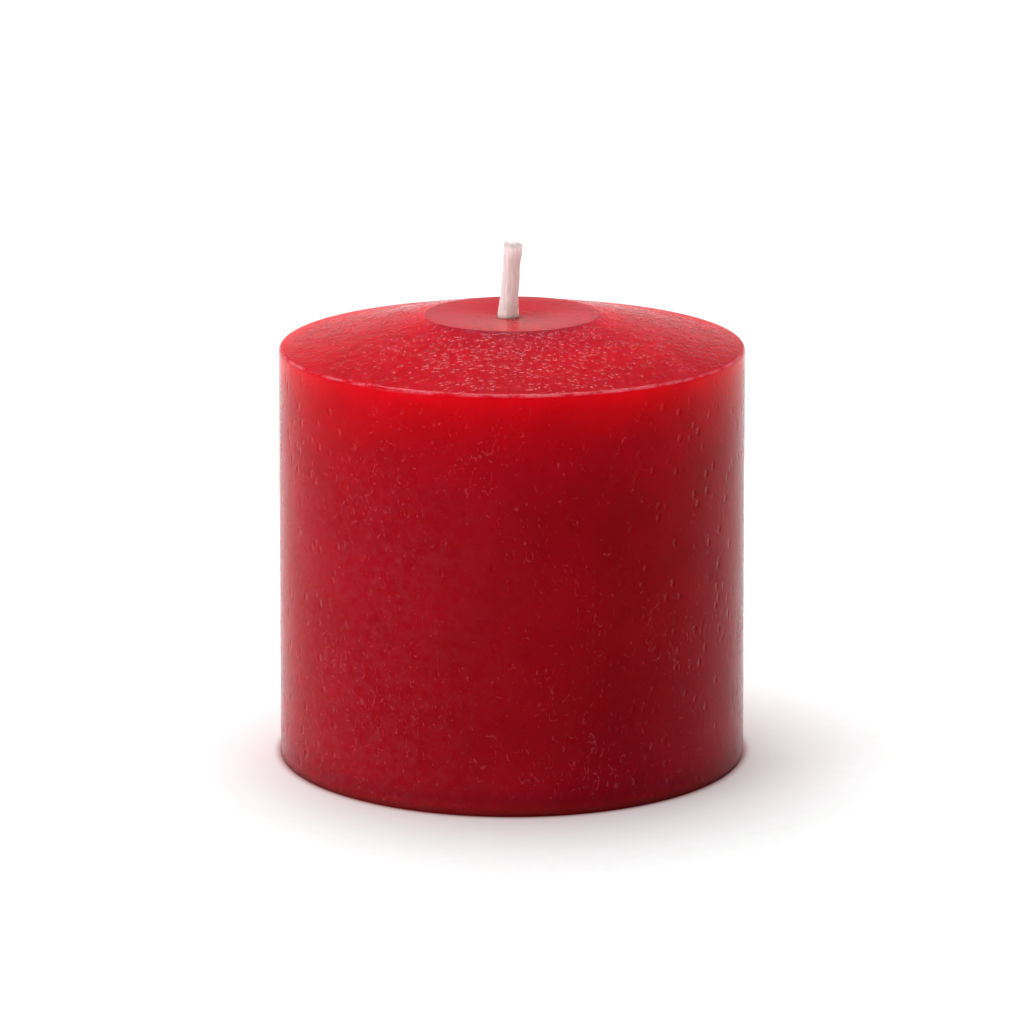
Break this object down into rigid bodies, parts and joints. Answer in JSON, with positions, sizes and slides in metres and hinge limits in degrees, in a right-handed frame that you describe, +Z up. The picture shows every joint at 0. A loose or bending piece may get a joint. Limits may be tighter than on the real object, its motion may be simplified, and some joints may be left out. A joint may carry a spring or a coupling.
{
  "type": "pillar candle",
  "caption": "Free-standing red pillar candle: drafted side, low conical crown, smooth poured seal round a pale braided wick, and a flat base with a wick tab.",
  "frame": {"origin": "middle of the base, on the surface that the candle stands on", "axes": "+Z up along the pillar; the wick leans slightly towards +X; the candle is seen from -Y"},
  "size_m": [0.0762, 0.0762, 0.085],
  "materials": {
    "wax": "satin, translucent",
    "seal_wax": "gloss, translucent",
    "tab_steel": "tinned sheet",
    "cotton": "waxed braid"
  },
  "bodies": {
    "root": {"wax_body": "wax", "base_pour": "wax", "wick_seal": "seal_wax", "wick_sustainer": "tab_steel", "wick_core": "cotton", "wick_yarn_1": "cotton", "wick_yarn_2": "cotton", "wick_yarn_3": "cotton", "wick_yarn_4": "cotton", "wick_yarn_5": "cotton", "wick_yarn_6": "cotton", "wick_yarn_7": "cotton", "wick_yarn_8": "cotton"}
  },
  "joints": []
}
